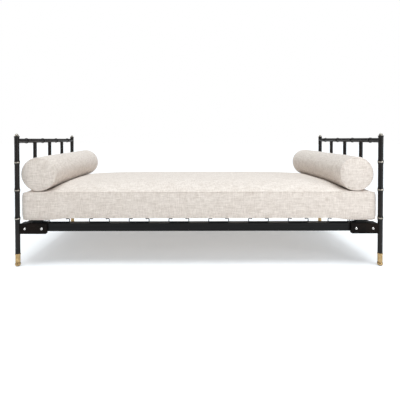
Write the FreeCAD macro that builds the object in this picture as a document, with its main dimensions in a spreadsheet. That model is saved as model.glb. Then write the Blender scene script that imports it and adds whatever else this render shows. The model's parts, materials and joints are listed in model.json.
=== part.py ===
"""A daybed: two bamboo-style end frames, steel side rails, a sprung wire deck, a mattress and two bolsters.

Frame: +Z up, +X along the bed, -Y the front. The origin is the middle of the footprint, on the floor.
Everything is in millimetres. Each sub-part's Label is the name of its STEP file in parts/.
"""
import FreeCAD, Part
import os
import re
import Sketcher

Vector = FreeCAD.Vector

SIZES = {
    # overall, between the axes of the four posts
    "bed_length": 1930,
    "bed_depth": 820,
    # posts: a steel tube inside leather-clad sleeves that flare at each bamboo node
    "tube_radius": 10.5,
    "tube_bore": 8.5,
    "tube_bottom": 24,
    "post_top": 691,
    "sleeve_radius": 12.5,
    "flare_radius": 14.7,
    "flare_length": 14,
    # brass rings at the nodes
    "ring_low": 253,
    "ring_middle": 404,
    "ring_high": 552,
    "ring_half": 3.5,
    "ring_edge": 14.2,
    "ring_arc_middle": 5.6,
    # brass foot: flattened ball, sleeve and collar
    "foot_bottom": 2,
    "foot_ball_end": 10,
    "foot_ball_middle": 3.25,
    "foot_ball_top": 20,
    "foot_neck_top": 21.5,
    "foot_collar_bottom": 59,
    "foot_collar_chamfer": 1,
    "foot_collar_radius": 14,
    "foot_top": 66,
    "glide_radius": 9,
    # finial: a spigot in the tube, a round base and a pointed dome
    "finial_spigot": 14,
    "finial_base_radius": 9.5,
    "finial_base_height": 2.5,
    "finial_shoulder_radius": 2.4,
    "finial_shoulder_height": 12.5,
    "finial_height": 15,
    # end frames
    "top_rail_height": 666,
    "cross_rail_height": 198,
    "rail_radius": 12.2,
    "spindle_radius": 10.3,
    "collar_radius": 15,
    "collar_half": 8,
    "collar_flat": 1.5,
    # corner brackets and their bolts
    "bracket_length": 157,
    "bracket_thickness": 12,
    "bracket_bottom": 171.5,
    "bracket_height": 53.7,
    "bracket_corner": 8,
    "bolt_outer": 39,
    "bolt_inner": 129,
    "bolt_height": 198,
    "bolt_hole_radius": 4.2,
    "bolt_shank_radius": 4,
    "bolt_head_radius": 7,
    "bolt_head_height": 4.5,
    "bolt_shank_length": 27,
    "washer_radius": 8,
    "washer_thickness": 1.6,
    "nut_flat_half": 6.5,
    "nut_corner": 7.5,
    "nut_height": 6.5,
    # side rails: steel angle, its outer face against the back of the bracket
    "side_rail_half_length": 950,
    "side_rail_leg": 42,
    "side_rail_flange": 42,
    "side_rail_wall": 4,
    "side_rail_inner_radius": 4,
    # cast stands on the side rails, and a timber bearer between them across each end of the deck
    "bearer_line": 865,
    "stand_line": 386,
    "stand_depth": 32,
    "stand_foot_half": 60,
    "stand_waist_half": 18,
    "stand_waist_height": 5.5,
    "stand_top_half": 37,
    "stand_height": 15,
    "bearer_thickness": 8,
    # wire deck
    "stirrup_pitch": 214,
    "stirrup_half": 53.5,
    "stirrup_arm_end": 34.5,
    "stirrup_wire": 2.2,
    "stirrup_bend": 5,
    "stirrup_rise": 19.6,
    "stirrup_line": 390,
    "cross_wire": 1.75,
    "cross_wire_bend": 3.5,
    "cross_wire_drop": 7,
    "cross_wire_inset": 14,
    "long_wire": 1.5,
    "long_wire_pitch": 110,
    "long_wire_bend": 3,
    "long_wire_drop": 9,
    "long_wire_slack": 1.4,
    "hook_line": 770,
    "anchor_line": 812,
    "anchor_wire": 2.5,
    "anchor_leg_line": 388,
    "anchor_foot": 2.3,
    "spring_drop": 5,
    "spring_radius": 4,
    "spring_wire": 0.8,
    "spring_pitch": 2.4,
    "spring_loop_set": 2.4,
    # mattress
    "mattress_length": 1888,
    "mattress_depth": 800,
    "mattress_bottom": 253.25,
    "mattress_end_bottom": 240.7,
    "mattress_step_inner": 816,
    "mattress_step_outer": 829,
    "mattress_end_top": 393.5,
    "mattress_crown_half": 740,
    "mattress_crown_rise": 47,
    "cover_thickness": 2,
    # bolsters
    "bolster_radius": 92,
    "bolster_length": 796,
    "bolster_edge": 12,
    "bolster_height": 492.5,
    "bolster_tilt": 0.9,
    "left_bolster_place": 855,
    "right_bolster_place": 842,
}

doc = FreeCAD.newDocument("daybed")
sheet = doc.addObject("Spreadsheet::Sheet", "Sizes")
for row, (alias, size) in enumerate(SIZES.items(), start=1):
    sheet.set(f"A{row}", alias)
    sheet.set(f"B{row}", str(size))
    sheet.setAlias(f"B{row}", alias)
doc.recompute()

SUBPARTS = []


# ---------------------------------------------------------------- formulas and placing

def bound(formula):
    """The formula with each size's name turned into its cell in the sheet."""
    return re.sub(r"[a-z][a-z_]+", lambda word: "Sizes." + word.group(), str(formula))


def number(formula):
    """What the formula comes to now."""
    return float(sheet.evalExpression(bound(formula)))


def bind(thing, **formulas):
    """Tie each of the thing's properties to a formula."""
    for name, formula in formulas.items():
        thing.setExpression(name, bound(formula))


def place(thing, x=0, y=0, z=0, turn=0, about=Vector(0, 0, 1)):
    """Turn the thing about one of its axes and hold its origin at three formulas."""
    thing.Placement = FreeCAD.Placement(Vector(), FreeCAD.Rotation(about, turn))
    for letter, formula in zip("xyz", (x, y, z)):
        thing.setExpression("Placement.Base." + letter, bound(formula))
    return thing


def keep(thing):
    """Count the thing as a finished sub-part of the bed."""
    SUBPARTS.append(thing)
    return thing


def group(label, original, places):
    """One sub-part made of several copies of an original, each at (x, y, z, turn, about)."""
    compound = doc.addObject("Part::Compound", label)
    copies = []
    for index, spot in enumerate(places, start=1):
        copy = doc.addObject("App::Link", f"{label}_{index}")
        copy.LinkedObject = original
        place(copy, *spot)
        copies.append(copy)
    compound.Links = copies
    return compound


# ---------------------------------------------------------------- sketches and features

def new_body(label):
    body = doc.addObject("PartDesign::Body", label)
    body.AllowCompound = True
    return body


def new_sketch(body, role, offset=0):
    """A sketch on one of the body's own planes, moved along that plane's normal by a formula."""
    sketch = body.newObject("Sketcher::SketchObject", body.Label + "_sketch")
    plane = [item for item in body.Origin.OriginFeatures if item.Role == role][0]
    sketch.AttachmentSupport = (plane, [""])
    sketch.MapMode = "FlatFace"
    if offset != 0:
        sketch.setExpression("AttachmentOffset.Base.z", bound(offset))
    return sketch


def hold(sketch, edge, point, x=None, y=None):
    """Hold a point of an edge at formulas for its distance from the sketch's two axes."""
    for kind, axis, formula in (("DistanceX", -2, x), ("DistanceY", -1, y)):
        if formula is None:
            continue
        if formula == 0:
            sketch.addConstraint(Sketcher.Constraint("PointOnObject", edge, point, axis))
            continue
        distance = Sketcher.Constraint(kind, -1, 1, edge, point, number(formula))
        index = sketch.addConstraint(distance)
        sketch.setExpression(f"Constraints[{index}]", bound(formula))


def arc_between(start, end, axis, middle):
    """The short arc from start to end whose centre has the given x or y."""
    half_way = (start + end) * 0.5
    across = Vector(start.y - end.y, end.x - start.x, 0)
    along = {"x": 0, "y": 1}[axis]
    centre = half_way + across * ((middle - half_way[along]) / across[along])
    outward = (half_way - centre).normalize()
    return Part.Arc(start, centre + outward * start.distanceToPoint(centre), end)


def draw(sketch, corners, closed=True):
    """Straight and round edges from corner to corner.

    A corner is (x, y), or (x, y, "x" or "y", middle) where the edge that ends there is an arc
    whose centre has that x or y.
    """
    points = [Vector(number(corner[0]), number(corner[1]), 0) for corner in corners]
    first = sketch.GeometryCount
    count = len(points) if closed else len(points) - 1
    ends = []
    for index in range(count):
        after = (index + 1) % len(points)
        start, end, corner = points[index], points[after], corners[after]
        if len(corner) == 2:
            curve = Part.LineSegment(start, end)
        else:
            curve = arc_between(start, end, corner[2], number(corner[3]))
        edge = sketch.addGeometry(curve, False)
        forward = sketch.getPoint(edge, 1).distanceToPoint(start) < 0.001
        ends.append((1, 2) if forward else (2, 1))
    for index in range(count if closed else count - 1):
        after = (index + 1) % count
        joint = (first + index, ends[index][1], first + after, ends[after][0])
        sketch.addConstraint(Sketcher.Constraint("Coincident", *joint))
    for index, corner in enumerate(corners):
        if index < count:
            hold(sketch, first + index, ends[index][0], corner[0], corner[1])
        else:
            hold(sketch, first + index - 1, ends[index - 1][1], corner[0], corner[1])
        if len(corner) > 2:
            hold(sketch, first + (index - 1) % count, 3, **{corner[2]: corner[3]})


def draw_circle(sketch, radius, x=0, y=0):
    centre = Vector(number(x), number(y), 0)
    edge = sketch.addGeometry(Part.Circle(centre, Vector(0, 0, 1), number(radius)), False)
    hold(sketch, edge, 3, x, y)
    index = sketch.addConstraint(Sketcher.Constraint("Radius", edge, number(radius)))
    sketch.setExpression(f"Constraints[{index}]", bound(radius))


def finish_feature(body, sketch, kind):
    feature = body.newObject("PartDesign::" + kind, f"{body.Label}_{kind.lower()}")
    feature.Profile = sketch
    return feature


def revolve(body, sketch):
    """Turn the sketch once round its own upright axis."""
    feature = finish_feature(body, sketch, "Revolution")
    feature.ReferenceAxis = (sketch, ["V_Axis"])
    feature.Angle = 360


def pad(body, sketch, length, symmetric=True):
    feature = finish_feature(body, sketch, "Pad")
    feature.SideType = "Symmetric" if symmetric else "One side"
    bind(feature, Length=length)


def pocket(body, sketch, length):
    """Cut the sketch out of the body, half of the length to each side of its plane."""
    doc.recompute()
    before = body.Shape.Volume
    feature = finish_feature(body, sketch, "Pocket")
    feature.SideType = "Symmetric"
    bind(feature, Length=length)
    doc.recompute()
    if body.Shape.Volume > before - 1:
        raise RuntimeError(body.Label + ": a pocket cuts nothing")


def turned(label, *outlines):
    """A body turned round its own Z axis from outlines in the XZ plane, one solid for each."""
    body = new_body(label)
    sketch = new_sketch(body, "XZ_Plane")
    for outline in outlines:
        draw(sketch, outline)
    revolve(body, sketch)
    return body


def bent_wire(label, role, route, radius, start):
    """Round wire along an open route in one of the body's planes.

    start is (role, offset, x, y): the plane across the route's first end, and where that end is.
    """
    body = new_body(label)
    path = new_sketch(body, role)
    draw(path, route, closed=False)
    profile = new_sketch(body, start[0], start[1])
    draw_circle(profile, radius, start[2], start[3])
    doc.recompute()
    feature = finish_feature(body, profile, "AdditivePipe")
    edges = [f"Edge{index}" for index in range(1, len(path.Shape.Edges) + 1)]
    feature.Spine = (path, edges)
    return body


# ---------------------------------------------------------------- posts

def sleeve_outline(bottom, top, flared_bottom):
    """Half the section of one sleeve, wider at its top node and, if flared, at its bottom one."""
    low = f"{bottom} + flare_length"
    high = f"{top} - flare_length"
    if flared_bottom:
        start = [("flare_radius", bottom), ("sleeve_radius", low, "y", low)]
    else:
        start = [("sleeve_radius", bottom)]
    outer = [("sleeve_radius", high), ("flare_radius", top, "y", high)]
    return [("tube_radius", bottom)] + start + outer + [("tube_radius", top)]


def ring_outline(height):
    """Half the section of one brass ring, with a slightly rounded outside."""
    low = f"{height} - ring_half"
    high = f"{height} + ring_half"
    outside = [("ring_edge", low), ("ring_edge", high, "x", "ring_arc_middle")]
    return [("tube_radius", low)] + outside + [("tube_radius", high)]


RINGS = ["ring_low", "ring_middle", "ring_high"]


def make_post(name, x, y):
    tube = turned(f"{name}_post_tube", [
        ("tube_bore", "tube_bottom"),
        ("tube_radius", "tube_bottom"),
        ("tube_radius", "post_top"),
        ("tube_bore", "post_top"),
    ])
    bottoms = ["foot_top"] + [f"{ring} + ring_half" for ring in RINGS]
    tops = [f"{ring} - ring_half" for ring in RINGS] + ["post_top"]
    outlines = [
        sleeve_outline(bottom, top, flared_bottom=bottom != "foot_top")
        for bottom, top in zip(bottoms, tops)
    ]
    sleeves = turned(f"{name}_post_sleeves", *outlines)
    rings = turned(f"{name}_post_rings", *[ring_outline(ring) for ring in RINGS])
    foot = turned(f"{name}_foot", [
        (0, "foot_bottom"),
        ("foot_ball_end", "foot_bottom"),
        ("foot_ball_end", "foot_ball_top", "x", "foot_ball_middle"),
        ("sleeve_radius", "foot_neck_top"),
        ("sleeve_radius", "foot_collar_bottom"),
        ("foot_collar_radius", "foot_collar_bottom + foot_collar_chamfer"),
        ("foot_collar_radius", "foot_top"),
        ("tube_radius", "foot_top"),
        ("tube_radius", "tube_bottom"),
        (0, "tube_bottom"),
    ])
    base = "post_top + finial_base_height"
    shoulder = "post_top + finial_shoulder_height"
    finial = turned(f"{name}_finial", [
        (0, "post_top - finial_spigot"),
        ("tube_bore", "post_top - finial_spigot"),
        ("tube_bore", "post_top"),
        ("finial_base_radius", "post_top"),
        ("finial_base_radius", base),
        ("finial_shoulder_radius", shoulder, "y", base),
        (0, "post_top + finial_height"),
    ])
    for piece in (tube, sleeves, rings, foot, finial):
        keep(place(piece, x, y))


# ---------------------------------------------------------------- end frames

def make_rail(label, x, z):
    """A round bar from post to post, hollowed at both ends to sit against them."""
    body = new_body(label)
    sketch = new_sketch(body, "XZ_Plane")
    draw_circle(sketch, "rail_radius")
    pad(body, sketch, "bed_depth")
    for end in ("-bed_depth / 2", "bed_depth / 2"):
        sketch = new_sketch(body, "XY_Plane")
        draw_circle(sketch, "sleeve_radius", 0, end)
        pocket(body, sketch, "4 * rail_radius")
    return keep(place(body, x, 0, z))


def make_spindle(label, x, y):
    """A round bar standing between the lower and the upper rail of an end frame."""
    rise = "top_rail_height - cross_rail_height"
    body = new_body(label)
    sketch = new_sketch(body, "XY_Plane")
    draw_circle(sketch, "spindle_radius")
    pad(body, sketch, rise, symmetric=False)
    for height in (0, rise):
        sketch = new_sketch(body, "XZ_Plane")
        draw_circle(sketch, "rail_radius", 0, height)
        pocket(body, sketch, "4 * spindle_radius")
    return keep(place(body, x, y, "cross_rail_height"))


def make_end_frame(side, x, rail_collar):
    make_rail(f"{side}_top_rail", x, "top_rail_height")
    make_rail(f"{side}_cross_rail", x, "cross_rail_height")
    spots = [(0, f"{eighth} * bed_depth / 8", 0, 90, Vector(1, 0, 0)) for eighth in (-3, -1, 1, 3)]
    collars = group(f"{side}_top_rail_collars", rail_collar, spots)
    keep(place(collars, x, 0, "top_rail_height"))
    for name, quarter in (("front", -1), ("middle", 0), ("rear", 1)):
        make_spindle(f"{side}_{name}_spindle", x, f"{quarter} * bed_depth / 4")


# ---------------------------------------------------------------- corners and side rails

def make_bracket(label, x, y, turn):
    """A flat bar from the post to the side rail, its lower free corner rounded."""
    body = new_body(label)
    sketch = new_sketch(body, "XZ_Plane")
    rounded = "bracket_length - bracket_corner"
    draw(sketch, [
        ("sleeve_radius / 2", 0),
        (rounded, 0),
        ("bracket_length", "bracket_corner", "x", rounded),
        ("bracket_length", "bracket_height"),
        ("sleeve_radius / 2", "bracket_height"),
    ])
    pad(body, sketch, "bracket_thickness")
    sketch = new_sketch(body, "XY_Plane")
    draw_circle(sketch, "sleeve_radius")
    pocket(body, sketch, "4 * bracket_height")
    sketch = new_sketch(body, "XZ_Plane")
    for hole in ("bolt_outer", "bolt_inner"):
        draw_circle(sketch, "bolt_hole_radius", hole, "bolt_height - bracket_bottom")
    pocket(body, sketch, "2 * bracket_thickness")
    return keep(place(body, x, y, "bracket_bottom", turn))


def make_side_rail(label, y, turn):
    """Steel angle: an upright leg outside and a flange inwards along its top."""
    inside = "side_rail_wall + side_rail_inner_radius"
    under = "side_rail_leg - side_rail_wall"
    body = new_body(label)
    sketch = new_sketch(body, "YZ_Plane")
    draw(sketch, [
        (0, 0),
        ("side_rail_wall", 0),
        ("side_rail_wall", f"{under} - side_rail_inner_radius"),
        (inside, under, "x", inside),
        ("side_rail_flange", under),
        ("side_rail_flange", "side_rail_leg"),
        (0, "side_rail_leg"),
    ])
    pad(body, sketch, "2 * side_rail_half_length")
    sketch = new_sketch(body, "XZ_Plane")
    for side in (-1, 1):
        for hole in ("bolt_outer", "bolt_inner"):
            across = f"{side} * (bed_length / 2 - {hole})"
            draw_circle(sketch, "bolt_hole_radius", across, f"bolt_height - ({RAIL_BOTTOM})")
    pocket(body, sketch, "4 * side_rail_wall")
    return keep(place(body, 0, y, RAIL_BOTTOM, turn))


RAIL_TOP = "bracket_bottom + bracket_height"
RAIL_BOTTOM = f"{RAIL_TOP} - side_rail_leg"
RAIL_OUTER = "bed_depth / 2 - bracket_thickness / 2"


def make_bearers():
    """At each corner a stand with a low arched foot, a waist and a flat top, and bearers between."""
    stand = new_body("one_bearer_stand")
    sketch = new_sketch(stand, "XZ_Plane")
    draw(sketch, [
        ("-stand_foot_half", 0, "x", "-stand_waist_half"),
        ("stand_foot_half", 0),
        ("stand_waist_half", "stand_waist_height", "x", "stand_waist_half"),
        ("stand_top_half", "stand_height"),
        ("-stand_top_half", "stand_height"),
        ("-stand_waist_half", "stand_waist_height"),
    ])
    pad(stand, sketch, "stand_depth")
    corners = [
        (f"{across} * bearer_line", f"{row} * stand_line", RAIL_TOP)
        for across in (-1, 1) for row in (-1, 1)
    ]
    keep(group("end_bearer_stands", stand, corners))
    for side, across in (("left", -1), ("right", 1)):
        bearer = new_body(f"{side}_end_bearer")
        sketch = new_sketch(bearer, "XZ_Plane")
        draw(sketch, [
            ("-stand_top_half", "stand_height - bearer_thickness"),
            ("stand_top_half", "stand_height - bearer_thickness"),
            ("stand_top_half", "stand_height"),
            ("-stand_top_half", "stand_height"),
        ])
        pad(bearer, sketch, "2 * stand_line - stand_depth")
        keep(place(bearer, f"{across} * bearer_line", 0, RAIL_TOP))


def make_fasteners():
    """Domed bolts through bracket and rail, each with a washer and a hexagon nut inside."""
    bolt = turned("one_bolt", [
        (0, "-bolt_shank_length"),
        ("bolt_shank_radius", "-bolt_shank_length"),
        ("bolt_shank_radius", 0),
        ("bolt_head_radius", 0),
        (0, "bolt_head_height", "x", 0),
    ])
    washer = turned("one_washer", [
        ("bolt_hole_radius", 0),
        ("washer_radius", 0),
        ("washer_radius", "washer_thickness"),
        ("bolt_hole_radius", "washer_thickness"),
    ])
    nut = new_body("one_nut")
    sketch = new_sketch(nut, "XY_Plane")
    draw(sketch, [
        ("nut_flat_half", "-nut_corner / 2"),
        ("nut_flat_half", "nut_corner / 2"),
        (0, "nut_corner"),
        ("-nut_flat_half", "nut_corner / 2"),
        ("-nut_flat_half", "-nut_corner / 2"),
        (0, "-nut_corner"),
    ])
    draw_circle(sketch, "bolt_shank_radius")
    pad(nut, sketch, "nut_height", symmetric=False)

    face = "(bed_depth / 2 + bracket_thickness / 2)"
    inner = "(bed_depth / 2 - bracket_thickness / 2 - side_rail_wall)"
    layers = [("corner_bolts", bolt, face, 1),
              ("corner_washers", washer, inner, -1),
              ("corner_nuts", nut, f"({inner} - washer_thickness)", -1)]
    for label, original, depth, outward in layers:
        spots = [
            (f"{side} * (bed_length / 2 - {hole})", f"{row} * {depth}", "bolt_height",
             -90 * row * outward, Vector(1, 0, 0))
            for row in (-1, 1) for side in (-1, 1) for hole in ("bolt_outer", "bolt_inner")
        ]
        keep(group(label, original, spots))


# ---------------------------------------------------------------- wire deck

ARM_HEIGHT = f"({RAIL_TOP} + stirrup_wire + stirrup_rise)"
CROSS_WIRE_HEIGHT = f"({ARM_HEIGHT} + stirrup_wire + cross_wire)"
LONG_WIRE_HEIGHT = f"({CROSS_WIRE_HEIGHT} - cross_wire - long_wire)"
SPRING_HEIGHT = f"({LONG_WIRE_HEIGHT} - spring_drop)"
STIRRUPS = [-3.5, -2.5, -1.5, -0.5, 0.5, 1.5, 2.5, 3.5]
LONG_WIRES = [-3, -2, -1, 0, 1, 2, 3]


def staple(half, bend, drop, arm_end=None):
    """A wire route: up, across and down again, with round bends and perhaps the ends turned in."""
    near = f"{half} - {bend}"
    route = [(half, f"-({drop} - {bend})"), (half, f"-{bend}"), (near, 0, "y", f"-{bend}")]
    if arm_end:
        route[0] = route[0] + ("x", near)
        route = [(arm_end, f"-{drop}"), (near, f"-{drop}")] + route
    else:
        route[0] = (half, f"-{drop}")
    mirrored = []
    for index, corner in enumerate(reversed(route)):
        back = (f"-({corner[0]})", corner[1])
        source = route[len(route) - index] if index else corner
        if index and len(source) > 2:
            middle = f"-({source[3]})" if source[2] == "x" else source[3]
            back = back + (source[2], middle)
        mirrored.append(back)
    return route + mirrored


def make_stirrups():
    """Wire stirrups standing on both rails, their upper ends turned in as arms for the cross wires."""
    route = staple("stirrup_half", "stirrup_bend", "stirrup_rise", "stirrup_arm_end")
    start = ("YZ_Plane", "stirrup_arm_end", 0, "-stirrup_rise")
    stirrup = bent_wire("one_stirrup", "XZ_Plane", route, "stirrup_wire", start)
    for name, side in (("front", -1), ("rear", 1)):
        spots = [(f"{step} * stirrup_pitch", 0, 0, 180, Vector(1, 0, 0)) for step in STIRRUPS]
        stirrups = keep(group(f"{name}_stirrups", stirrup, spots))
        place(stirrups, 0, f"{side} * stirrup_line", f"{RAIL_TOP} + stirrup_wire")


def make_deck_wires():
    """Wires hooked over the stirrups' arms from front to rear, and wires lengthwise under them."""
    half = "(stirrup_line + stirrup_wire + cross_wire)"
    route = staple(half, "cross_wire_bend", "cross_wire_drop")
    start = ("XY_Plane", "-cross_wire_drop", 0, half)
    cross_wire = bent_wire("one_cross_wire", "YZ_Plane", route, "cross_wire", start)
    spots = [
        (f"{step} * stirrup_pitch + {side} * (stirrup_half - cross_wire_inset)", 0, 0)
        for step in STIRRUPS for side in (-1, 1)
    ]
    keep(place(group("deck_cross_wires", cross_wire, spots), 0, 0, CROSS_WIRE_HEIGHT))

    half = "(hook_line - long_wire_slack)"
    route = staple(half, "long_wire_bend", "long_wire_drop")
    start = ("XY_Plane", "-long_wire_drop", half, 0)
    long_wire = bent_wire("one_long_wire", "XZ_Plane", route, "long_wire", start)
    spots = [(0, f"{step} * long_wire_pitch", 0) for step in LONG_WIRES]
    keep(place(group("deck_long_wires", long_wire, spots), 0, 0, LONG_WIRE_HEIGHT))


def make_spring():
    """A close-wound tension spring along Z with a round loop at each end, a quarter turn apart."""
    span = "(anchor_line - hook_line)"
    helix = doc.addObject("Part::Helix", "spring_helix")
    bind(helix, Pitch="spring_pitch", Height=f"{span} - 2 * spring_loop_set", Radius="spring_radius")
    place(helix, 0, 0, "spring_loop_set")
    section = doc.addObject("Part::Circle", "spring_section")
    bind(section, Radius="spring_wire")
    place(section, "spring_radius", 0, "spring_loop_set", 90, Vector(1, 0, 0))
    coil = doc.addObject("Part::Sweep", "spring_coil")
    coil.Sections = [section]
    coil.Spine = (helix, ["Edge1"])
    coil.Solid = True
    coil.Frenet = True
    shapes = [coil]
    for name, height, about in (("near", 0, Vector(0, 1, 0)), ("far", span, Vector(1, 0, 0))):
        loop = doc.addObject("Part::Torus", f"spring_{name}_loop")
        bind(loop, Radius1="spring_radius", Radius2="spring_wire")
        shapes.append(place(loop, 0, 0, height, 90, about))
    spring = doc.addObject("Part::MultiFuse", "one_spring")
    spring.Shapes = shapes
    return spring


def make_end_springs():
    """At each end a rod across the deck on two short legs, with springs from it to the wires."""
    spring = make_spring()
    leg = new_body("one_anchor_leg")
    sketch = new_sketch(leg, "XY_Plane")
    draw_circle(sketch, "anchor_wire")
    rise = f"{SPRING_HEIGHT} - anchor_wire - ({RAIL_TOP}) - anchor_foot"
    pad(leg, sketch, rise, symmetric=False)
    legs = [
        (f"{across} * anchor_line", f"{row} * anchor_leg_line", f"{RAIL_TOP} + anchor_foot")
        for across in (-1, 1) for row in (-1, 1)
    ]
    keep(group("anchor_rod_legs", leg, legs))
    for side, sign in (("left", -1), ("right", 1)):
        rod = new_body(f"{side}_anchor_rod")
        sketch = new_sketch(rod, "XZ_Plane")
        draw_circle(sketch, "anchor_wire")
        pad(rod, sketch, "2 * (anchor_leg_line + anchor_wire)")
        keep(place(rod, f"{sign} * anchor_line", 0, SPRING_HEIGHT))
        spots = [
            (f"{sign} * hook_line", f"{step} * long_wire_pitch", 0, 90 * sign, Vector(0, 1, 0))
            for step in LONG_WIRES
        ]
        keep(place(group(f"{side}_deck_springs", spring, spots), 0, 0, SPRING_HEIGHT))


# ---------------------------------------------------------------- mattress and bolsters

def mattress_outline(inset):
    """The long section: ends that dip onto the bearers, and a top that rises between the bolsters."""
    end = f"(mattress_length / 2 - {inset})"
    end_bottom = f"mattress_end_bottom + {inset}"
    bottom = f"mattress_bottom + {inset}"
    top = f"mattress_end_top - {inset}"
    half_squared = "mattress_crown_half * mattress_crown_half"
    rise_squared = "mattress_crown_rise * mattress_crown_rise"
    middle = f"{top} - ({half_squared} - {rise_squared}) / (2 * mattress_crown_rise)"
    return [
        (f"-{end}", end_bottom),
        ("-mattress_step_outer", end_bottom),
        ("-mattress_step_inner", bottom),
        ("mattress_step_inner", bottom),
        ("mattress_step_outer", end_bottom),
        (end, end_bottom),
        (end, top),
        ("mattress_crown_half", top),
        ("-mattress_crown_half", top, "y", middle),
        (f"-{end}", top),
    ]


def make_mattress():
    """A foam core closed inside a fabric cover."""
    cover = new_body("mattress_cover")
    sketch = new_sketch(cover, "XZ_Plane")
    draw(sketch, mattress_outline(0))
    pad(cover, sketch, "mattress_depth")
    sketch = new_sketch(cover, "XZ_Plane")
    draw(sketch, mattress_outline("cover_thickness"))
    pocket(cover, sketch, "mattress_depth - 2 * cover_thickness")
    core = new_body("mattress_core")
    sketch = new_sketch(core, "XZ_Plane")
    draw(sketch, mattress_outline("cover_thickness"))
    pad(core, sketch, "mattress_depth - 2 * cover_thickness")
    keep(place(cover))
    keep(place(core))


def bolster_outline(inset, backwards=False):
    """Half the long section of a bolster, from axis to axis round its edge."""
    half = f"bolster_length / 2 - {inset}"
    radius = f"bolster_radius - {inset}"
    face = "bolster_radius - bolster_edge"
    side = "bolster_length / 2 - bolster_edge"
    if backwards:
        return [(0, half), (face, half), (radius, side, "y", side),
                (radius, f"-({side})"), (face, f"-({half})", "y", f"-({side})"), (0, f"-({half})")]
    return [(0, f"-({half})"), (face, f"-({half})"), (radius, f"-({side})", "y", f"-({side})"),
            (radius, side), (face, half, "y", side), (0, half)]


def make_bolster(side, x):
    """A round filling closed inside a fabric cover, lying across the bed and a little higher behind."""
    cover = turned(f"{side}_bolster_cover",
                   bolster_outline(0) + bolster_outline("cover_thickness", backwards=True))
    fill = turned(f"{side}_bolster_fill", bolster_outline("cover_thickness"))
    for piece in (cover, fill):
        keep(place(piece, x, 0, "bolster_height", number("90 + bolster_tilt"), Vector(1, 0, 0)))


# ---------------------------------------------------------------- the whole bed

def make_bed():
    glide = turned("one_glide", [
        (0, 0), ("glide_radius", 0), ("glide_radius", "foot_bottom"), (0, "foot_bottom"),
    ])
    rail_collar = turned("one_rail_collar", [
        ("rail_radius", "-collar_half"),
        ("collar_radius", "-collar_flat", "x", "collar_radius"),
        ("collar_radius", "collar_flat"),
        ("rail_radius", "collar_half", "x", "collar_radius"),
    ])
    ends = [("left", -1, 0), ("right", 1, 180)]
    rows = [("front", -1, 0), ("rear", 1, 180)]
    corners = []
    for side, across, bracket_turn in ends:
        x = f"{across} * bed_length / 2"
        for row_name, back, _ in rows:
            y = f"{back} * bed_depth / 2"
            make_post(f"{row_name}_{side}", x, y)
            make_bracket(f"{row_name}_{side}_bracket", x, y, bracket_turn)
            corners.append((x, y))
        make_end_frame(side, x, rail_collar)
    keep(group("foot_glides", glide, corners))
    for row_name, back, turn in rows:
        make_side_rail(f"{row_name}_side_rail", f"{back} * ({RAIL_OUTER})", turn)
    make_fasteners()
    make_bearers()
    make_stirrups()
    make_deck_wires()
    make_end_springs()
    make_mattress()
    make_bolster("left", "-left_bolster_place")
    make_bolster("right", "right_bolster_place")


def check_and_export():
    """Stop if anything in the document failed, then write one STEP file for each sub-part."""
    doc.recompute()
    for item in doc.Objects:
        if "Invalid" in item.State or "Error" in item.State:
            raise RuntimeError(f"{item.Label} is {item.State}")
    for item in SUBPARTS:
        if item.Shape.isNull() or not item.Shape.isValid() or not item.Shape.Solids:
            raise RuntimeError(f"{item.Label} has no valid solid")
    os.makedirs("parts", exist_ok=True)
    for item in SUBPARTS:
        item.Shape.exportStep(f"parts/{item.Label}.step")
        box = item.Shape.BoundBox
        low = f"{box.XMin:.1f} {box.YMin:.1f} {box.ZMin:.1f}"
        high = f"{box.XMax:.1f} {box.YMax:.1f} {box.ZMax:.1f}"
        print(f"{item.Label}: {len(item.Shape.Solids)} solids, {low} to {high}")
    print(len(SUBPARTS), "sub-parts")


make_bed()
check_and_export()
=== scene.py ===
"""Looks of the daybed: leather, steel and brass on its frame, woven covers on its mattress and bolsters."""
import json
import math

import bpy
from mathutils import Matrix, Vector, noise


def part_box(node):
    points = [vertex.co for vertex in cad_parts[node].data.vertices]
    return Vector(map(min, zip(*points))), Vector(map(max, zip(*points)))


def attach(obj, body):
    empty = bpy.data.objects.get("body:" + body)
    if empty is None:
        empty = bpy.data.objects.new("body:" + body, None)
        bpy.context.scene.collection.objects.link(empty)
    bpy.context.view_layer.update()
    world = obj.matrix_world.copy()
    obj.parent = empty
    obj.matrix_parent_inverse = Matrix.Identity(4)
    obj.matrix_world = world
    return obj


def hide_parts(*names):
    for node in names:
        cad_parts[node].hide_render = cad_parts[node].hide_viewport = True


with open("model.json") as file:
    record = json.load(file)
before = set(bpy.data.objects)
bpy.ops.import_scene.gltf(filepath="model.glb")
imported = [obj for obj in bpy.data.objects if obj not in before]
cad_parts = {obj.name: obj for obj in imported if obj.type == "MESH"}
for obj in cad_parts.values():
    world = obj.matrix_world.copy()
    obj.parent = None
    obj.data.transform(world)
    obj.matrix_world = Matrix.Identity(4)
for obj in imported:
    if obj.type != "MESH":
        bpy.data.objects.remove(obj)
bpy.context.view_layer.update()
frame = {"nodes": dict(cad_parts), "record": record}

MM = 0.001
SLOT_OF = {row["node"]: row["material_slot"] for row in frame["record"]["subparts"]}


# ---------------------------------------------------------------- materials

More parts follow.
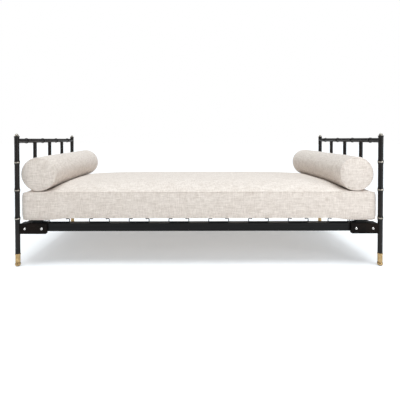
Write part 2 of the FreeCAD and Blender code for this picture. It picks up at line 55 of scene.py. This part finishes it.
class Paint:
    """A material being built: one Principled shader, fed from textures in the object's own metres."""

    def __init__(self, name, **surface):
        self.material = bpy.data.materials.new(name)
        self.material.use_nodes = True
        self.tree = self.material.node_tree
        self.shader = self.tree.nodes["Principled BSDF"]
        for socket, value in surface.items():
            self.shader.inputs[socket.replace("_", " ")].default_value = value
        self.place = self.node("ShaderNodeTexCoord").outputs["Object"]

    def node(self, kind, inputs=(), **settings):
        made = self.tree.nodes.new(kind)
        for name, value in settings.items():
            setattr(made, name, value)
        for socket, value in dict(inputs).items():
            self.feed(made.inputs[socket], value)
        return made

    def feed(self, socket, value):
        """Link the value if it is another node's output, or else set it."""
        if isinstance(value, bpy.types.NodeSocket):
            self.tree.links.new(value, socket)
        else:
            socket.default_value = value

    def stretched(self, x, y, z):
        scaled = self.node("ShaderNodeMapping", {"Vector": self.place, "Scale": (x, y, z)})
        return scaled.outputs["Vector"]

    def noise(self, scale, detail=2.0, roughness=0.5, place=None):
        made = self.node("ShaderNodeTexNoise", {
            "Vector": place or self.place, "Scale": scale, "Detail": detail, "Roughness": roughness})
        return made.outputs["Fac"]

    def cells(self, scale, feature="F1"):
        made = self.node("ShaderNodeTexVoronoi", {"Vector": self.place, "Scale": scale}, feature=feature)
        return made.outputs["Distance"]

    def ramp(self, factor, low, high, start, end):
        made = self.node("ShaderNodeValToRGB", {"Fac": factor})
        first, last = made.color_ramp.elements
        first.position, last.position = low, high
        first.color, last.color = (*start, 1), (*end, 1)
        return made.outputs["Color"]

    def multiply(self, first, second):
        made = self.node("ShaderNodeMix", {"Factor": 1.0}, data_type="RGBA", blend_type="MULTIPLY")
        self.feed(made.inputs[6], first)
        self.feed(made.inputs[7], second)
        return made.outputs[2]

    def add(self, first, second, share):
        """The first value and a share of the second."""
        made = self.node("ShaderNodeMath", operation="MULTIPLY_ADD")
        for socket, value in zip(made.inputs, (second, share, first)):
            self.feed(socket, value)
        return made.outputs["Value"]

    def blend(self, *parts):
        """The weighted mean of pairs of a value and its weight."""
        whole = sum(weight for value, weight in parts)
        mean = 0.0
        for value, weight in parts:
            mean = self.add(mean, value, weight / whole)
        return mean

    def span(self, value, low, high):
        """Values from 0 to 1 turned into values from low to high."""
        made = self.node("ShaderNodeMapRange", {"Value": value, "To Min": low, "To Max": high})
        return made.outputs["Result"]

    def bump(self, height, depth, strength):
        made = self.node("ShaderNodeBump", {"Height": height, "Distance": depth, "Strength": strength})
        self.feed(self.shader.inputs["Normal"], made.outputs["Normal"])

    def colour(self, value):
        self.feed(self.shader.inputs["Base Color"], value)

    def roughness(self, value):
        self.feed(self.shader.inputs["Roughness"], value)


def woven(name):
    """A melange weave with small loops: cream and greige yarns, and slubs both along and across."""
    paint = Paint(name, Roughness=0.95, Sheen_Weight=0.15, Sheen_Roughness=0.5,
                  Specular_IOR_Level=0.15)
    speckle = paint.noise(330, detail=3, roughness=0.7)
    slubs = paint.noise(1.0, detail=3, roughness=0.6, place=paint.stretched(26, 150, 170))
    picks = paint.noise(1.0, detail=2, roughness=0.6, place=paint.stretched(170, 42, 30))
    blotches = paint.noise(20, detail=2)
    mixture = paint.blend((speckle, 0.8), (slubs, 1.0), (picks, 0.8), (blotches, 0.1))
    yarn = paint.ramp(mixture, 0.37, 0.63, GREIGE, CREAM)
    broad = paint.ramp(paint.noise(4.5, detail=3), 0.3, 0.7, (0.97, 0.965, 0.96), (1, 1, 1))
    paint.colour(paint.multiply(yarn, broad))
    loops = paint.cells(310, "SMOOTH_F1")
    fibres = paint.noise(900)
    paint.bump(paint.add(paint.add(loops, fibres, 0.35), slubs, 0.8), 1.2 * MM, 0.6)
    return paint.material


def leather(name, sheen):
    """Black-brown bridle leather: fine grain, a waxed sheen and browner where it wears."""
    paint = Paint(name, Specular_IOR_Level=sheen)
    grain = paint.cells(1400)
    creases = paint.noise(260, detail=5, roughness=0.65)
    wear = paint.noise(14, detail=4)
    paint.colour(paint.ramp(wear, 0.35, 0.75, (0.003, 0.002, 0.0014), (0.0105, 0.006, 0.004)))
    paint.roughness(paint.span(creases, 0.28, 0.5))
    paint.bump(paint.add(grain, creases, 0.8), 0.22 * MM, 0.5)
    return paint.material


def enamel(name, colour, roughness):
    """Baked black enamel on rolled steel, with faint mill lines along the bar in its roughness and bump,
    and painted streaks of sheen along them in its colour.
    """
    paint = Paint(name, Specular_IOR_Level=0.15)
    lines = paint.noise(1.0, detail=2, place=paint.stretched(0.8, 150, 260))
    peel = paint.noise(190)
    # painted highlight: along the lines the colour is raised up to 2.5 times lighter, as streaks of sheen
    # along the bar
    painted_sheen_colour = [2.5 * channel for channel in colour]
    paint.colour(paint.ramp(lines, 0.4, 0.7, colour, painted_sheen_colour))
    paint.roughness(paint.span(lines, roughness - 0.08, roughness + 0.12))
    paint.bump(paint.add(peel, lines, 1.5), 0.2 * MM, 0.4)
    return paint.material


def metal(name, colour, dull, roughness):
    """Bare or plated metal: a slightly uneven polish, and a duller tint in patches."""
    paint = Paint(name, Metallic=1.0)
    patches = paint.noise(60, detail=4, roughness=0.6)
    scratches = paint.noise(1.0, place=paint.stretched(900, 900, 120))
    paint.colour(paint.ramp(patches, 0.35, 0.7, colour, dull))
    paint.roughness(paint.span(patches, roughness * 0.7, roughness * 1.5))
    paint.bump(scratches, 0.04 * MM, 0.3)
    return paint.material


def timber():
    """Black-stained hardwood, its grain across the bed along the bearers."""
    paint = Paint("black_timber", Specular_IOR_Level=0.25)
    grain = paint.noise(1.0, detail=5, roughness=0.65, place=paint.stretched(160, 7, 160))
    paint.colour(paint.ramp(grain, 0.35, 0.7, (0.005, 0.004, 0.003), (0.022, 0.016, 0.011)))
    paint.roughness(paint.span(grain, 0.45, 0.7))
    paint.bump(grain, 0.4 * MM, 0.5)
    return paint.material


def pressed_pad():
    """Dense felt under the feet."""
    paint = Paint("glide_pad", Roughness=0.9)
    fibres = paint.noise(700, detail=4)
    paint.colour(paint.ramp(fibres, 0.3, 0.7, (0.03, 0.028, 0.026), (0.09, 0.085, 0.08)))
    paint.bump(fibres, 0.3 * MM, 0.6)
    return paint.material


CREAM = (0.832, 0.754, 0.681)
GREIGE = (0.558, 0.476, 0.409)
FINISHES = {
    "black_leather": leather("black_leather", 0.3),
    "matt_leather": leather("matt_leather", 0.08),
    "black_steel": enamel("black_steel", (0.0034, 0.0034, 0.0034), 0.36),
    "black_wire": enamel("black_wire", (0.003, 0.003, 0.003), 0.45),
    "deck_wire": metal("deck_wire", (0.12, 0.115, 0.11), (0.05, 0.047, 0.045), 0.36),
    "black_timber": timber(),
    "polished_brass": metal("polished_brass", (0.57, 0.40, 0.20), (0.34, 0.23, 0.105), 0.22),
    "pale_brass": metal("pale_brass", (0.46, 0.42, 0.36), (0.24, 0.215, 0.18), 0.25),
    "bright_bolts": metal("bright_bolts", (0.72, 0.70, 0.67), (0.5, 0.47, 0.44), 0.2),
    "glide_felt": pressed_pad(),
    "mattress_fabric": woven("mattress_weave"),
    "bolster_fabric": woven("bolster_weave"),
}


OWN_FINISH = {"_rings": "pale_brass", "_finial": "pale_brass", "_bracket": "matt_leather"}


def finish_nodes():
    """Every CAD node that stays in sight gets its slot's material, or its kind's own one."""
    for name, thing in frame["nodes"].items():
        finish = SLOT_OF[name]
        for ending, own in OWN_FINISH.items():
            if name.endswith(ending):
                finish = own
        material = FINISHES.get(finish)
        if material:
            thing.data.materials.clear()
            thing.data.materials.append(material)


# ---------------------------------------------------------------- soft pieces

def new_piece(name, points, faces, finish):
    mesh = bpy.data.meshes.new(name)
    mesh.from_pydata([tuple(point) for point in points], [], faces)
    mesh.update()
    mesh.polygons.foreach_set("use_smooth", [True] * len(mesh.polygons))
    mesh.materials.append(FINISHES[finish])
    piece = bpy.data.objects.new(name, mesh)
    bpy.context.scene.collection.objects.link(piece)
    return piece


def swell(piece, held, pressure, cap, frames=20):
    """Blow a cloth up with its seams held, and keep each point within cap of where it was."""
    start = [vertex.co.copy() for vertex in piece.data.vertices]
    seam = piece.vertex_groups.new(name="seam")
    seam.add(held, 1.0, "REPLACE")
    cloth = piece.modifiers.new("swell", "CLOTH")
    fabric = cloth.settings
    fabric.quality = 5
    fabric.mass = 0.3
    fabric.tension_stiffness = 12
    fabric.compression_stiffness = 12
    fabric.shear_stiffness = 4
    fabric.bending_stiffness = 0.3
    fabric.shrink_min = -0.01
    fabric.use_pressure = True
    fabric.uniform_pressure_force = pressure
    fabric.vertex_group_mass = "seam"
    fabric.effector_weights.gravity = 0
    cloth.collision_settings.use_collision = False
    scene = bpy.context.scene
    for frame_number in range(1, frames + 1):
        scene.frame_set(frame_number)
    shape = piece.evaluated_get(bpy.context.evaluated_depsgraph_get()).to_mesh()
    moved = [vertex.co.copy() for vertex in shape.vertices]
    piece.modifiers.remove(cloth)
    piece.vertex_groups.remove(seam)
    scene.frame_set(1)
    for vertex, before, after in zip(piece.data.vertices, start, moved):
        move = after - before
        if move.length > 0:
            move *= cap * math.tanh(move.length / cap) / move.length
        vertex.co = before + move
    piece.data.update()


def subdivide(piece):
    """One round of smooth subdivision."""
    smooth = piece.modifiers.new("smooth", "SUBSURF")
    smooth.levels = smooth.render_levels = 1


def ease(value):
    """0 below 0, 1 above 1 and a smooth step between."""
    value = min(max(value, 0.0), 1.0)
    return value * value * (3 - 2 * value)


def welt(name, points, radius, finish, body):
    """A thin sewn cord of the same cloth along a closed seam."""
    curve = bpy.data.curves.new(name, "CURVE")
    curve.dimensions = "3D"
    curve.bevel_depth = radius
    curve.bevel_resolution = 2
    curve.materials.append(FINISHES[finish])
    line = curve.splines.new("POLY")
    line.points.add(len(points) - 1)
    for spot, point in zip(line.points, points):
        spot.co = (*point, 1)
    line.use_cyclic_u = True
    piece = bpy.data.objects.new(name, curve)
    bpy.context.scene.collection.objects.link(piece)
    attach(piece, body)


# ---------------------------------------------------------------- bolsters

BOLSTER_RADIUS = 92 * MM
FULLNESS = 6 * MM            # how far a cover may swell past its CAD radius
PROUD = 3 * MM               # how far its ends stand past the CAD ends
SWING = 0.013                # the front ends lie a little further out than the rear ends
BOLSTER_EDGE = 12 * MM
PUFF = 6 * MM                # how far the middle of each end stands out
RING_STEP = 9 * MM
AROUND = 88
END_STEPS = 10               # rings of cloth across each end
EDGE_STEPS = 5               # and round each edge
END_SEAM = 1.6 * MM          # radius of the cord round each end
SWELL_PRESSURE = 4.0
FOLDS = ((27, 9, 6.0), (54, 10, 4.5), (90, 14, 2.5))    # distance from the front end, width, depth, in mm


class Bolster:
    """Where one bolster lies: its axis, from the front end to the rear end, and its radius."""

    def __init__(self, side):
        self.side = side
        self.low, self.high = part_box(f"{side}_bolster_cover")
        self.radius = BOLSTER_RADIUS
        middle = (self.low + self.high) / 2
        self.x, self.z = middle.x, middle.z
        self.half = (self.high.y - self.low.y) / 2 + PROUD
        self.tilt = ((self.high.z - self.low.z) / 2 - self.radius) / self.half
        self.swing = SWING if side == "left" else -SWING

    def point(self, along, radial, angle):
        """A point at a distance along the axis, 0 at the middle, and at a radius and angle."""
        return Vector((
            self.x + self.swing * along + radial * math.cos(angle),
            along,
            self.z + self.tilt * along + radial * math.sin(angle),
        ))

    def underside(self, x, y):
        """The height of its lowest surface over a spot of the mattress, or None beside it."""
        across = abs(x - self.x - self.swing * y)
        reach = self.radius + FULLNESS
        if across >= reach or abs(y) > self.half + 4 * MM:
            return None
        axis = self.z + self.tilt * y
        return axis - min(math.sqrt(reach ** 2 - across ** 2), self.radius)


BOLSTERS = [Bolster("left"), Bolster("right")]


def bolster_profile(bolster):
    """(along, radius) from the front end's middle round both edges to the rear end's middle."""
    half = bolster.half
    flat = bolster.radius - BOLSTER_EDGE
    front = []
    for step in range(END_STEPS):
        reach = flat * step / END_STEPS
        front.append((PUFF * (reach / flat) ** 2 - half, reach))
    for step in range(EDGE_STEPS + 1):
        angle = math.pi / 2 * step / EDGE_STEPS
        front.append((PUFF - half + BOLSTER_EDGE * (1 - math.cos(angle)),
                      flat + BOLSTER_EDGE * math.sin(angle)))
    start = front[-1][0]
    count = round(-2 * start / RING_STEP)
    middle = [(start - 2 * start * step / count, bolster.radius) for step in range(1, count)]
    rear = [(-along, reach) for along, reach in reversed(front)]
    profile = front + middle + rear
    seam = END_STEPS + 1
    return profile, (seam, len(profile) - 1 - seam)


def sink(bolster, along, angle):
    """How far the cover sinks in: soft folds behind the front seam, and shallow dents elsewhere."""
    inward, slack = (0.6, 1.0) if bolster.side == "left" else (math.pi - 0.6, 0.5)
    place = Vector((math.cos(angle) * 1.5, math.sin(angle) * 1.5, bolster.x * 5))
    wander = 18 * MM * noise.noise(place)
    folds = 0.0
    for distance, width, depth in FOLDS:
        off = along + bolster.half - distance * MM - wander
        folds += depth * MM * math.exp(-(off / (width * MM)) ** 2)
    folds *= slack * (0.15 + 0.85 * max(0.0, math.cos(angle - inward)))
    dents = noise.noise(Vector((along * 8, math.cos(angle) * 1.2, math.sin(angle) * 1.2 + bolster.x)))
    return folds + 1.8 * MM * (0.2 - dents)


def settle(piece, bolster):
    """Folds and dents in the cover, and a flattened underside where it lies on the mattress."""
    for vertex in piece.data.vertices:
        spot = vertex.co
        axis = bolster.point(spot.y, 0, 0)
        out = Vector((spot.x - axis.x, 0, spot.z - axis.z))
        share = ease((out.length / bolster.radius - 0.8) / 0.15)
        if share > 0:
            angle = math.atan2(out.z, out.x)
            spot = spot - out.normalized() * sink(bolster, spot.y, angle) * share
        spot.z = max(spot.z, axis.z - bolster.radius + 0.3 * MM)
        vertex.co = spot


def make_bolster(bolster):
    """A stuffed tube with round ends, seamed round both ends and slack near its front one."""
    profile, seams = bolster_profile(bolster)
    rings = profile[1:-1]
    points = [bolster.point(profile[0][0], 0, 0)]
    for along, reach in rings:
        points += [bolster.point(along, reach, math.tau * step / AROUND) for step in range(AROUND)]
    points.append(bolster.point(profile[-1][0], 0, 0))
    last = len(points) - 1
    end = last - AROUND
    faces = []
    for step in range(AROUND):
        after = (step + 1) % AROUND
        faces.append((0, 1 + step, 1 + after))
        faces.append((end + step, last, end + after))
        for ring in range(len(rings) - 1):
            near = 1 + ring * AROUND
            far = near + AROUND
            faces.append((near + step, far + step, far + after, near + after))
    body = f"{bolster.side}_bolster"
    piece = new_piece(f"{body}_cloth", points, faces, "bolster_fabric")
    held = [1 + (seam - 1) * AROUND + step for seam in seams for step in range(AROUND)]
    swell(piece, held, SWELL_PRESSURE, FULLNESS)
    settle(piece, bolster)
    subdivide(piece)
    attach(piece, body)
    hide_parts(f"{body}_cover", f"{body}_fill")
    for name, seam in zip(("front", "rear"), seams):
        along, reach = profile[seam]
        ring = [bolster.point(along, reach, math.tau * step / AROUND) for step in range(AROUND)]
        welt(f"{body}_{name}_seam", ring, END_SEAM, "bolster_fabric", body)


# ---------------------------------------------------------------- mattress

MATTRESS_STEP = 15 * MM
EDGE_STRIP = 4 * MM          # the first row of cloth beside each edge
CROWN = 47 * MM
LEFT_FULLNESS = 3 * MM       # how far each end starts past the CAD one
RIGHT_FULLNESS = 5 * MM
BULGE = 4 * MM               # how far its cloth may swell from there
BOX_SEAM = 2.1 * MM          # radius of the cords round its upper and lower edges
END_ROUND = 24 * MM          # radii of its edges along Y, along X and upright
SIDE_ROUND = 6 * MM
CORNER_ROUND = 6 * MM
CLEAR = 1.2 * MM             # room kept under the bolsters
LIP = 3 * MM                 # how far the lower seam hangs below the deck's wires
DROOP_FROM = 700 * MM        # from here to the bearers the lower seam sinks to their top


def grid_lines(low, high):
    """Even lines from low to high, with a narrow first and last strip."""
    start, end = low + EDGE_STRIP, high - EDGE_STRIP
    count = round((end - start) / MATTRESS_STEP)
    return [low] + [start + (end - start) * step / count for step in range(count + 1)] + [high]


def box_grid(lines):
    """The points and faces of a closed box whose sides are grids, and each point's grid place."""
    found = {}
    points = []
    faces = []

    def number(place):
        if place not in found:
            found[place] = len(points)
            points.append(Vector([lines[axis][place[axis]] for axis in range(3)]))
        return found[place]

    for axis in range(3):
        first, second = (axis + 1) % 3, (axis + 2) % 3
        for level in (0, len(lines[axis]) - 1):
            for one in range(len(lines[first]) - 1):
                for two in range(len(lines[second]) - 1):
                    corners = []
                    for add_one, add_two in ((0, 0), (1, 0), (1, 1), (0, 1)):
                        place = {axis: level, first: one + add_one, second: two + add_two}
                        corners.append(number((place[0], place[1], place[2])))
                    faces.append(corners if level else corners[::-1])
    return points, faces, found


def round_edges(point, low, high, axes, radius):
    """The point moved so that the box's edges between two of its sides are round."""
    off = {}
    for axis in axes:
        inner = min(max(point[axis], low[axis] + radius), high[axis] - radius)
        off[axis] = point[axis] - inner
    reach = math.hypot(*off.values())
    if reach == 0:
        return
    share = max(abs(value) for value in off.values()) / reach
    for axis in axes:
        point[axis] -= off[axis] * (1 - share)


def crown(x, y, half_length, half_depth):
    """How far the top stands above its seam: fullest in the middle, less towards the ends."""
    along = 1 - min(1.0, abs(x) / half_length) ** 5.4
    across = 1 - min(1.0, abs(y) / half_depth) ** 4
    return CROWN * along * across


class Deck:
    """Heights of what the mattress lies on."""
    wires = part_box("deck_cross_wires")[1].z + 0.8 * MM
    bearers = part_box("right_end_bearer")[1].z + 0.6 * MM
    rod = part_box("right_anchor_rod")[1].x + 1 * MM
    bearer_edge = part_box("right_end_bearer")[0].x
    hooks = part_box("deck_cross_wires")[1].y + 0.4 * MM

    @classmethod
    def height(cls, x, y):
        """The lowest place for the mattress's underside, between the hooks or outside them."""
        if abs(y) > cls.hooks:
            sunk = ease((abs(x) - DROOP_FROM) / (cls.bearer_edge - DROOP_FROM))
            low = cls.wires - LIP
            return low + (cls.bearers - low) * sunk
        sunk = ease((abs(x) - cls.rod) / (cls.bearer_edge - cls.rod))
        return cls.wires + (cls.bearers - cls.wires) * sunk


def lay_down(piece, low, high):
    """Crown the swollen box, sink its ends onto the bearers, and dent it under the bolsters."""
    thickness = high.z - low.z
    for vertex in piece.data.vertices:
        spot = vertex.co + vertex.normal * 1.2 * MM * noise.noise(vertex.co * 7)
        share = min(max((spot.z - low.z) / thickness, 0.0), 1.0)
        sunk = Deck.height(spot.x, spot.y) - Deck.wires
        raised = crown(spot.x, spot.y, high.x, high.y)
        spot.z += sunk * (1 - ease(share * 2)) + raised * ease(share * 1.6 - 0.6)
        if share > 0.5:
            for bolster in BOLSTERS:
                ceiling = bolster.underside(spot.x, spot.y)
                if ceiling is not None:
                    spot.z = min(spot.z, ceiling - CLEAR)
        else:
            spot.z = max(spot.z, Deck.height(spot.x, spot.y))
        vertex.co = spot


def edge_line(piece, found, lines, level):
    """The points round the mattress along the seam at one level, in order."""
    across, deep = len(lines[0]) - 1, len(lines[1]) - 1
    places = [(one, 0, level) for one in range(across)]
    places += [(across, two, level) for two in range(deep)]
    places += [(one, deep, level) for one in range(across, 0, -1)]
    places += [(0, two, level) for two in range(deep, 0, -1)]
    return [piece.data.vertices[found[place]].co.copy() for place in places]


def make_mattress():
    """A boxed cover swollen between its upper and lower seams, with a cord sewn round each."""
    low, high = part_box("mattress_cover")
    low = Vector((low.x - LEFT_FULLNESS, low.y + 1 * MM, Deck.wires))
    high = Vector((high.x + RIGHT_FULLNESS, high.y - 1 * MM, BOLSTERS[0].low.z - 3 * MM))
    lines = [grid_lines(low[axis], high[axis]) for axis in range(3)]
    points, faces, found = box_grid(lines)
    for point in points:
        round_edges(point, low, high, (0, 2), END_ROUND)
        round_edges(point, low, high, (1, 2), SIDE_ROUND)
        round_edges(point, low, high, (0, 1), CORNER_ROUND)
    piece = new_piece("mattress_cloth", points, faces, "mattress_fabric")
    top = len(lines[2]) - 1
    ends = [(0, len(lines[axis]) - 1) for axis in (0, 1)]
    held = [
        index for place, index in found.items()
        if place[2] in (0, top) and (place[0] in ends[0] or place[1] in ends[1])
    ]
    swell(piece, held, SWELL_PRESSURE, BULGE)
    lay_down(piece, low, high)
    for name, level in (("lower", 0), ("upper", top)):
        seam = edge_line(piece, found, lines, level)
        welt(f"mattress_{name}_seam", seam, BOX_SEAM, "mattress_fabric", "mattress")
    subdivide(piece)
    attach(piece, "mattress")
    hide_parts("mattress_cover", "mattress_core")


# ---------------------------------------------------------------- floor, light and camera

def make_floor():
    """A pale floor with a little light of its own, as a lit studio sweep has."""
    bpy.ops.mesh.primitive_plane_add(size=60, location=(0, 10, 0))
    floor = bpy.context.object
    floor.name = "pale_floor"
    paint = Paint("pale_floor", Roughness=0.9, Specular_IOR_Level=0.1,
                  Emission_Color=(0.93, 0.975, 1, 1), Emission_Strength=0.285)
    paint.colour(paint.ramp(paint.noise(3), 0.3, 0.7, (0.72, 0.712, 0.707), (0.74, 0.732, 0.727)))
    floor.data.materials.append(paint.material)


def aim(light, place, target):
    light.location = place
    light.rotation_euler = (Vector(target) - Vector(place)).to_track_quat("-Z", "Y").to_euler()
    bpy.context.scene.collection.objects.link(light)


def soft_light(name, place, target, side, power, colour):
    lamp = bpy.data.lights.new(name, "AREA")
    lamp.size = side
    lamp.energy = power
    lamp.color = colour
    aim(bpy.data.objects.new(name, lamp), place, target)


def make_sky():
    """Brightest overhead, and plain white where the camera looks past the bed."""
    world = bpy.data.worlds.new("studio")
    bpy.context.scene.world = world
    world.use_nodes = True
    tree = world.node_tree
    glow = tree.nodes["Background"]
    glow.inputs["Strength"].default_value = 1.0
    direction = tree.nodes.new("ShaderNodeTexCoord").outputs["Generated"]
    height = tree.nodes.new("ShaderNodeSeparateXYZ")
    tree.links.new(direction, height.inputs[0])
    shade = tree.nodes.new("ShaderNodeValToRGB")
    tree.links.new(height.outputs["Z"], shade.inputs["Fac"])
    shade.color_ramp.elements[0].color = (0.11, 0.11, 0.11, 1)
    shade.color_ramp.elements[1].color = (0.75, 0.77, 0.80, 1)
    seen = tree.nodes.new("ShaderNodeMix")
    seen.data_type = "RGBA"
    tree.links.new(tree.nodes.new("ShaderNodeLightPath").outputs["Is Camera Ray"], seen.inputs["Factor"])
    tree.links.new(shade.outputs["Color"], seen.inputs[6])
    seen.inputs[7].default_value = (1, 1, 1, 1)
    tree.links.new(seen.outputs[2], glow.inputs["Color"])


def make_light():
    make_sky()
    overhead = bpy.data.lights.new("overhead", "SUN")
    overhead.energy = 2.2
    overhead.color = (0.91, 1.0, 1.06)
    overhead.angle = math.radians(38)
    aim(bpy.data.objects.new("overhead", overhead), (0.2, -0.8, 5), (0, 0, 0))
    soft_light("key", (2.5, -2.3, 1.3), (0.6, 0, 0.4), 1.3, 33, (0.97, 1.0, 1.05))
    soft_light("fill", (-2.3, -0.7, 1.15), (0.9, 0, 0.5), 1.0, 6, (1.0, 0.98, 0.96))
    bpy.context.scene.view_settings.view_transform = "Standard"


def make_camera():
    """At sitting height in front of the bed, a little left of its middle, looking straight across."""
    camera = bpy.data.cameras.new("camera")
    camera.sensor_width = 36
    camera.lens = 29.81
    camera.shift_x = 0.0247
    camera.shift_y = -0.1393
    eye = bpy.data.objects.new("camera", camera)
    eye.location = (-0.046, -2.166, 0.674)
    eye.rotation_euler = (math.radians(90 - 0.9), math.radians(0.1), 0)
    bpy.context.scene.collection.objects.link(eye)
    bpy.context.scene.camera = eye


make_camera()
finish_nodes()
for bolster in BOLSTERS:
    make_bolster(bolster)
make_mattress()
make_floor()
make_light()
